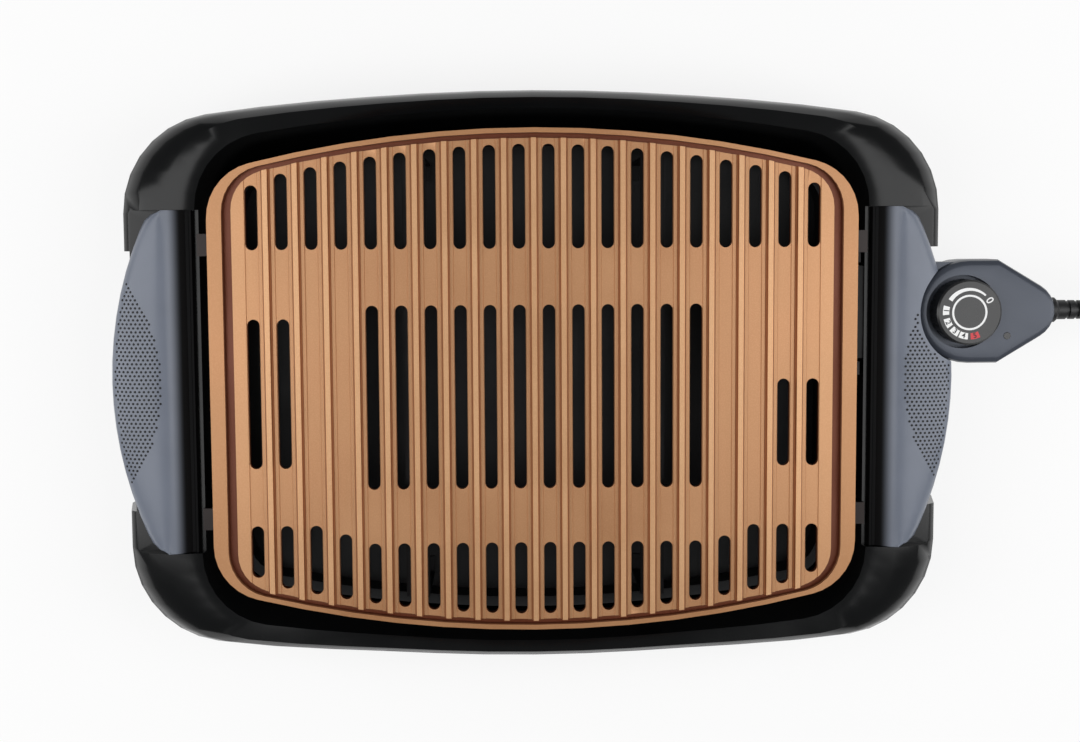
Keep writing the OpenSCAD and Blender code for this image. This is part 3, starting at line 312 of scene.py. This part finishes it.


# %% [markdown]
# ** The handles** are one black phenolic moulding. The outer half, where the hand lies, has a satin
# roughness and is painted grey-blue as a painted sheen, the side panels' reflection on the black.
# The inner strip beside the basin stays plain black. The distance from the middle plane tells the
# two apart.

# %% Handle moulding
# Where the satin roughness and the painted sheen begin, as distances from the middle plane.
SATIN_AND_SHEEN_FROM_X = (176 * MM, 182 * MM)
DRIFT_SIZE = 30 * MM
GRAIN_SIZE = 0.5 * MM


def handle_moulding():
    """Satin with a painted grey-blue sheen outside, plain black inside, with a soft step between."""
    material = new_material("black phenolic with painted sheen")
    place = add(material, "ShaderNodeTexCoord").outputs["Object"]
    across = add(material, "ShaderNodeSeparateXYZ", Vector=place).outputs["X"]
    outward = add(material, "ShaderNodeMath", {"operation": "ABSOLUTE"}, _0=across)
    # This mask sets the satin roughness and also where the painted sheen goes.
    satin = add(material, "ShaderNodeMapRange", {"interpolation_type": "SMOOTHSTEP"},
                Value=outward.outputs[0], From_Min=SATIN_AND_SHEEN_FROM_X[0], From_Max=SATIN_AND_SHEEN_FROM_X[1])
    drift = add(material, "ShaderNodeTexNoise", Vector=place, Scale=1 / DRIFT_SIZE, Detail=3.0)
    grain = add(material, "ShaderNodeTexNoise", Vector=place, Scale=1 / GRAIN_SIZE, Detail=2.0)
    # Painted sheen: the grey-blue outside stands for the side panels' reflection on black resin.
    painted_sheen_grey = add(material, "ShaderNodeMix", {"data_type": "RGBA"}, _0=drift.outputs["Fac"],
                _6=rgb("#646A76"), _7=rgb("#747A87"))
    colour = add(material, "ShaderNodeMix", {"data_type": "RGBA"}, _0=satin.outputs[0],
                 _6=rgb("#050506"), _7=painted_sheen_grey.outputs[2])
    roughness = add(material, "ShaderNodeMapRange", Value=satin.outputs[0], To_Min=0.5,
                    To_Max=0.28)
    gleam = add(material, "ShaderNodeMapRange", Value=satin.outputs[0], To_Min=0.12, To_Max=0.5)
    relief = add(material, "ShaderNodeBump", Height=grain.outputs["Fac"], Strength=0.04,
                 Distance=BUMP_DEPTH)
    shader = add(material, "ShaderNodeBsdfPrincipled", Base_Color=colour.outputs[2],
                 Roughness=roughness.outputs[0], Normal=relief.outputs[0], IOR=1.4,
                 Specular_IOR_Level=gleam.outputs[0])
    return surface(material, shader)


# %% The other finishes
FINISHES = {
    # Phenolic resin pressed in a polished mould: deep black with a clear gloss.
    "shell_black": grained("polished phenolic moulding", "#08090A", "#0D0E0F", (0.16, 0.22), 0.8,
                           0.03, IOR=1.34),
    # The same resin with a satin outer half, painted grey-blue there as a painted sheen of the side
    # panels.
    "handle_black": handle_moulding(),
    "screw_steel": grained("zinc-plated steel", "#8F9294", "#A8AAAC", (0.3, 0.4), 0.6, 0.1,
                           Metallic=1.0),
    "foot_rubber": grained("moulded rubber", "#151516", "#202021", (0.7, 0.85), 0.4, 0.3),
    # The tray is painted near black: a painted shade for the dark under the plate's slots.
    "tray_metal": grained("aluminium sheet darkened as painted shade", "#141415", "#1C1C1E", (0.5, 0.62), 0.9,
                          0.15),
    # The sheathed element is painted near black, a painted shade for the dark space under the plate.
    "element_steel": grained("steel tube darkened as painted shade", "#1C1A1A", "#332E2B", (0.5, 0.65), 0.5, 0.2,
                             patch_mm=12, Metallic=0.8),
    "cradle_steel": grained("heat-dulled steel strip", "#2B2B2C", "#3C3B3B", (0.45, 0.6), 0.7, 0.1,
                            Metallic=1.0),
    "bushing_ceramic": grained("unglazed steatite", "#BDB7AA", "#CFC9BC", (0.6, 0.75), 0.4, 0.2),
    "plate_copper": copper_coat(),
    "housing_black": grained("satin ABS moulding", "#373B43", "#3F434C", (0.3, 0.36), 0.5, 0.04,
                             IOR=1.55, Specular_Tint=rgb("#E2E8F5")),
    "socket_black": grained("mineral-filled moulding", "#141415", "#1E1E20", (0.6, 0.7), 0.4, 0.2),
    "contact_brass": grained("sprung brass", "#B8934E", "#CFAA66", (0.25, 0.35), 0.6, 0.05,
                             Metallic=1.0),
    "probe_steel": grained("polished stainless tube", "#AEB0B2", "#C4C6C8", (0.16, 0.24), 0.8, 0.04,
                           Metallic=1.0),
    "lead_sleeve": grained("glass-braid sleeve", "#CFCBBF", "#E2DFD6", (0.7, 0.85), 0.3, 0.4),
    "lamp_glass": grained("neon lamp glass", "#E89A68", "#F0AE80", (0.08, 0.12), 2, 0.02,
                          Transmission_Weight=0.8),
    "lens_smoke": grained("smoked polycarbonate", "#0C0D0F", "#141518", (0.1, 0.16), 2, 0.02,
                          Transmission_Weight=0.2),
    "dial_black": grained("gloss ABS moulding", "#121315", "#18191B", (0.25, 0.32), 0.6, 0.03),
    "cord_black": grained("PVC cable jacket", "#141415", "#1C1C1E", (0.42, 0.52), 0.7, 0.15),
    "tie_black": grained("nylon strip", "#232325", "#2B2B2E", (0.4, 0.5), 0.5, 0.1),
    "blade_brass": grained("plain brass blade", "#C2A468", "#D6BC86", (0.2, 0.3), 0.6, 0.05,
                           Metallic=1.0),
}
slot_of = {part["node"]: part["material_slot"] for part in frame["record"]["subparts"]}
for name, node in nodes.items():
    node.data.materials.clear()
    node.data.materials.append(FINISHES[slot_of[name]])
mains_lead.data.materials.append(FINISHES["cord_black"])
print("finishes:", len(FINISHES))


# %% [markdown]
# ## Smooth skins
#
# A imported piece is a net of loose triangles, and light shows each one. For the pieces that the eye
# runs over, a copy is welded, shaded smooth and given sharp edges only where two faces meet at a
# real angle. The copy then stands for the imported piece.

# %% Welded copies
WELD = 0.002 * MM
SHARP_DEG = 28
SHELL_SHARP_DEG = 48
body_lists = frame["record"]["behaviour"]["bodies"]
BODY_OF = {node_name: body for body, names in body_lists.items() for node_name in names}


def welded(node_name, sharp_deg=SHARP_DEG):
    """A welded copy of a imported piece, smooth but for its real edges."""
    net = bmesh.new()
    net.from_mesh(nodes[node_name].data)
    bmesh.ops.remove_doubles(net, verts=net.verts, dist=WELD)
    bmesh.ops.dissolve_degenerate(net, edges=net.edges, dist=WELD)
    limit = math.radians(sharp_deg)
    for edge in net.edges:
        edge.smooth = len(edge.link_faces) == 2 and edge.calc_face_angle(math.pi) < limit
    for face in net.faces:
        face.smooth = True
    mesh = new_mesh(node_name + "_skin", net)
    mesh.materials.append(FINISHES[slot_of[node_name]])
    piece = placed(node_name + "_skin", mesh)
    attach(piece, BODY_OF[node_name])
    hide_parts(node_name)
    return piece


# The base shell's raised corners are curved in coarser steps, so its limit is higher.
skins = {"base_shell": welded("base_shell", SHELL_SHARP_DEG)}
for skin_name in ("left_handle", "right_handle", "grill_plate", "control_top", "control_bottom",
                  "temperature_dial", "heating_element", "plug_body", "strain_relief",
                  "rubber_feet", "drip_tray"):
    skins[skin_name] = welded(skin_name)
print("welded skins:", len(skins))

# %% [markdown]
# ## The grip patches
#
# Each handle has a lens-shaped patch of raised pips, moulded in so that a damp hand doesn't slip.
# One flat cone is copied over a staggered grid, and each copy is dropped onto the handle with a ray
# from above, so the pips follow its curve. Two arcs bound the patch: its own towards the basin and
# the handle's outer edge. The right patch also stays clear of the control's notch.

# %% Pips
PIP_PITCH = 2.3 * MM
PIP_R = 0.74 * MM
PIP_H = 0.3 * MM
PIP_TOP_SHARE = 0.7
PIP_SIDES = 8
PIP_COLUMNS = 20
ABOVE_ALL_Z = 0.2
PATCH_MID_X = 185.8 * MM
PATCH_ARC_R = 81.7 * MM
PATCH_HALF_LEN = 51 * MM
EDGE_X = 212.4 * MM
EDGE_R = 192 * MM
EDGE_MARGIN = 2.2 * MM
NOTCH = Vector((220.7, 33.0, 0)) * MM
NOTCH_CLEAR = 28 * MM


def in_patch(x, y):
    """True inside the lens between the patch's inner arc and the handle's outer edge."""
    inner = PATCH_MID_X + PATCH_ARC_R - math.sqrt(PATCH_ARC_R ** 2 - y * y)
    outer = EDGE_X - EDGE_R + math.sqrt(EDGE_R ** 2 - y * y) - EDGE_MARGIN
    return inner < x < outer


def grip_pips(handle, side):
    """All the pips of one handle as one piece; side is 1 on the right and -1 on the left."""
    net = bmesh.new()
    skin = BVHTree.FromObject(skins[handle], bpy.context.evaluated_depsgraph_get())
    row_step = PIP_PITCH * math.sqrt(3) / 2
    rows = round(PATCH_HALF_LEN / row_step)
    count = 0
    for row in range(-rows, rows + 1):
        y = row * row_step
        for column in range(PIP_COLUMNS):
            x = PATCH_MID_X + (column + 0.5 * (row % 2)) * PIP_PITCH
            clear = side < 0 or (Vector((x, y, 0)) - NOTCH).length > NOTCH_CLEAR
            if not (clear and in_patch(x, y)):
                continue
            above = Vector((side * x, y, ABOVE_ALL_Z))
            spot, normal, _, _ = skin.ray_cast(above, Vector((0, 0, -1)))
            if spot is None:
                continue
            turn = normal.to_track_quat("Z", "Y").to_matrix().to_4x4()
            bmesh.ops.create_cone(net, cap_ends=True, segments=PIP_SIDES, radius1=PIP_R,
                                  radius2=PIP_TOP_SHARE * PIP_R, depth=2 * PIP_H,
                                  matrix=Matrix.Translation(spot) @ turn)
            count += 1
    piece = placed(handle + "_pips", new_mesh(handle + "_pips", net))
    piece.data.materials.append(pip_black)
    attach(piece, "base")
    print(handle, "pips:", count)


pip_black = grained("matt pip moulding", "#08080A", "#0D0D10", (0.6, 0.75), 0.4, 0.1)
for handle_name, handle_side in (("left_handle", -1), ("right_handle", 1)):
    grip_pips(handle_name, handle_side)

# %% [markdown]
# ## The dial's scale
#
# The scale is pad-printed on the dial's flat top: a ring, a widening arc from off towards the
# settings, five numbered fields and a nought. A print has almost no thickness, so each mark is a
# thin raised sheet. An edge that spins round the dial's axis makes a ring or a field.

# %% Marks of the scale
# Angles are in degrees from +X, and each pair of radii or half widths goes from small to large.
DIAL = Vector((218.6, 33.0, 79.0)) * MM
PRINT_T = 0.05 * MM
STROKE_SPREAD = 0.06 * MM
RING_R = (7.9 * MM, 8.9 * MM)
FIELD_R = (10.4 * MM, 13.6 * MM)
FIELD_HALF_DEG = 10.5
DIGIT_SIZE = 3.7 * MM
NOUGHT_SIZE = 5.4 * MM
FIELD_ANGLES = {"1": 175, "2": 205, "3": 232, "4": 256, "5": 283.5}
OFF_ANGLE = 31
ARC_DEG = (47, 148)
ARC_R = 11.6 * MM
ARC_STEPS = 24
ARC_HALF_W = (0.45 * MM, 1.1 * MM)
print_white = grained("white pad print", "#E9EAEA", "#F4F4F4", (0.5, 0.6), 0.3, 0.05)
print_red = grained("red pad print", "#C8343C", "#D4454B", (0.5, 0.6), 0.3, 0.05)
print_dark = grained("dark pad print", "#1A1B1E", "#202226", (0.5, 0.6), 0.3, 0.05)


def polar(angle_deg, radius, lift=0.0):
    """A point over the dial at that angle from +X, at that radius."""
    angle = math.radians(angle_deg)
    return DIAL + Vector((radius * math.cos(angle), radius * math.sin(angle), lift))


def mark(name, net, finish):
    """Turns the flat net into a thin printed sheet on the dial."""
    bmesh.ops.recalc_face_normals(net, faces=net.faces)
    sheet = bmesh.ops.extrude_face_region(net, geom=net.faces[:])
    risen = [v for v in sheet["geom"] if isinstance(v, bmesh.types.BMVert)]
    bmesh.ops.translate(net, verts=risen, vec=(0, 0, PRINT_T))
    bmesh.ops.recalc_face_normals(net, faces=net.faces)
    piece = placed(name, new_mesh(name, net))
    piece.data.materials.append(finish)
    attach(piece, "dial")


def swept_mark(name, radii, from_deg, to_deg, finish, steps):
    """The sheet that a radial edge covers as it spins from one angle to the other."""
    net = bmesh.new()
    ends = [net.verts.new(polar(from_deg, r)) for r in radii]
    edge = net.edges.new(ends)
    turn = math.radians(to_deg - from_deg)
    whole = abs(to_deg - from_deg) >= 360
    bmesh.ops.spin(net, geom=ends + [edge], cent=DIAL, axis=(0, 0, 1), angle=turn, steps=steps,
                   use_merge=whole)
    mark(name, net, finish)


def digit(character, angle_deg, finish, lift, size=DIGIT_SIZE):
    """A figure that stands on the outer side of its field, with its head towards the middle."""
    curve = bpy.data.curves.new("figure_" + character, "FONT")
    curve.body = character
    curve.size = size
    curve.align_x = "CENTER"
    curve.align_y = "CENTER"
    curve.extrude = PRINT_T / 2
    curve.offset = STROKE_SPREAD
    text = placed("figure", curve)
    mesh = bpy.data.meshes.new_from_object(text)
    mesh.name = "figure_" + character
    bpy.data.objects.remove(text)
    place = polar(angle_deg, sum(FIELD_R) / 2, lift)
    upright = Matrix.Rotation(math.radians(angle_deg + 90), 4, "Z")
    mesh.transform(Matrix.Translation(place) @ upright)
    mesh.materials.clear()
    mesh.materials.append(finish)
    piece = placed("figure_" + character, mesh)
    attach(piece, "dial")


swept_mark("scale_ring", RING_R, 0, 360, print_white, steps=64)
for character, angle in FIELD_ANGLES.items():
    hottest = character == "5"
    swept_mark("field_" + character, FIELD_R, angle - FIELD_HALF_DEG, angle + FIELD_HALF_DEG,
               print_red if hottest else print_white, steps=6)
    digit(character, angle, print_dark, 1.5 * PRINT_T)
digit("0", OFF_ANGLE, print_white, PRINT_T / 2, NOUGHT_SIZE)


# %% The widening arc
def widening_arc():
    """The arc that grows broader from off towards the settings."""
    net = bmesh.new()
    ends = [net.verts.new(polar(ARC_DEG[0], ARC_R - ARC_HALF_W[0])),
            net.verts.new(polar(ARC_DEG[0], ARC_R + ARC_HALF_W[0]))]
    edge = net.edges.new(ends)
    turn = math.radians(ARC_DEG[1] - ARC_DEG[0])
    bmesh.ops.spin(net, geom=ends + [edge], cent=DIAL, axis=(0, 0, 1), angle=turn,
                   steps=ARC_STEPS)
    for vert in net.verts:
        out = vert.co - DIAL
        share = (math.degrees(math.atan2(out.y, out.x)) - ARC_DEG[0]) / (ARC_DEG[1] - ARC_DEG[0])
        half = ARC_HALF_W[0] + (ARC_HALF_W[1] - ARC_HALF_W[0]) * share
        radius = ARC_R + half if out.length > ARC_R else ARC_R - half
        vert.co = DIAL + out.normalized() * radius
    mark("scale_arc", net, print_white)


widening_arc()

# %% [markdown]
# ## Floor and light
#
# The object stands on a pale sweep between two tall soft panels, as for a catalogue. The dark
# gloss shows them as a grey sheen, so their size and place shape the object as much as their
# strength. To the camera the floor glows by itself as well, which keeps it near white.

# %% Floor
FLOOR_SIZE = 40.0
floor_net = bmesh.new()
bmesh.ops.create_grid(floor_net, x_segments=1, y_segments=1, size=FLOOR_SIZE / 2)
floor = placed("floor", new_mesh("floor", floor_net))
GLOW_SHARE = 0.8
paper = new_material("white paper sweep")
ray_kind = add(paper, "ShaderNodeLightPath").outputs
seen = add(paper, "ShaderNodeMath", {"operation": "MAXIMUM"}, _0=ray_kind["Is Camera Ray"],
           _1=ray_kind["Is Glossy Ray"])
seen = add(paper, "ShaderNodeMath", {"operation": "MAXIMUM"}, _0=seen.outputs[0],
           _1=ray_kind["Is Transmission Ray"])
glow = add(paper, "ShaderNodeMath", {"operation": "MULTIPLY"}, _0=seen.outputs[0], _1=GLOW_SHARE)
lit_paper = add(paper, "ShaderNodeBsdfPrincipled", Base_Color=rgb("#FCFCFC"), Roughness=0.9)
bright_paper = add(paper, "ShaderNodeEmission", Color=rgb("#FFFFFF"), Strength=1.0)
mixed_paper = add(paper, "ShaderNodeMixShader", _0=glow.outputs[0], _1=lit_paper.outputs[0],
                  _2=bright_paper.outputs[0])
floor.data.materials.append(surface(paper, mixed_paper))


# %% Light
def soft_light(name, place, target, size, power):
    """A soft light of that width and height that faces the target."""
    data = bpy.data.lights.new(name, "AREA")
    data.shape = "RECTANGLE"
    data.size, data.size_y = size
    data.energy = power
    light = placed(name, data)
    light.location = place
    light.rotation_euler = (Vector(target) - Vector(place)).to_track_quat("-Z", "Y").to_euler()


PANEL_SIZE = (0.5, 1.3)
PANEL_POWER = 5.6
PANEL_REACH = 0.64
PANEL_TARGET = (0, 0, 0.05)
for side in (-1, 1):
    soft_light("side_panel", (side * PANEL_REACH, 0.0, PANEL_REACH), PANEL_TARGET, PANEL_SIZE,
               PANEL_POWER)

# %% The room
# The room gives a dim even light. Only the camera sees the pale background, which has the tone of
# the far floor, so that no edge shows between the two.
ROOM_LIGHT = 0.22
BACKGROUND = 0.845
world = bpy.data.worlds.new("room")
world.use_nodes = True
room = world.node_tree.nodes
rays = room.new("ShaderNodeLightPath")
strength = room.new("ShaderNodeMapRange")
strength.inputs["To Min"].default_value = ROOM_LIGHT
strength.inputs["To Max"].default_value = BACKGROUND
world.node_tree.links.new(rays.outputs["Is Camera Ray"], strength.inputs["Value"])
world.node_tree.links.new(strength.outputs["Result"], room["Background"].inputs["Strength"])
room["Background"].inputs["Color"].default_value = rgb("#FFFFFF")
bpy.context.scene.world = world
bpy.context.scene.view_settings.view_transform = "Standard"
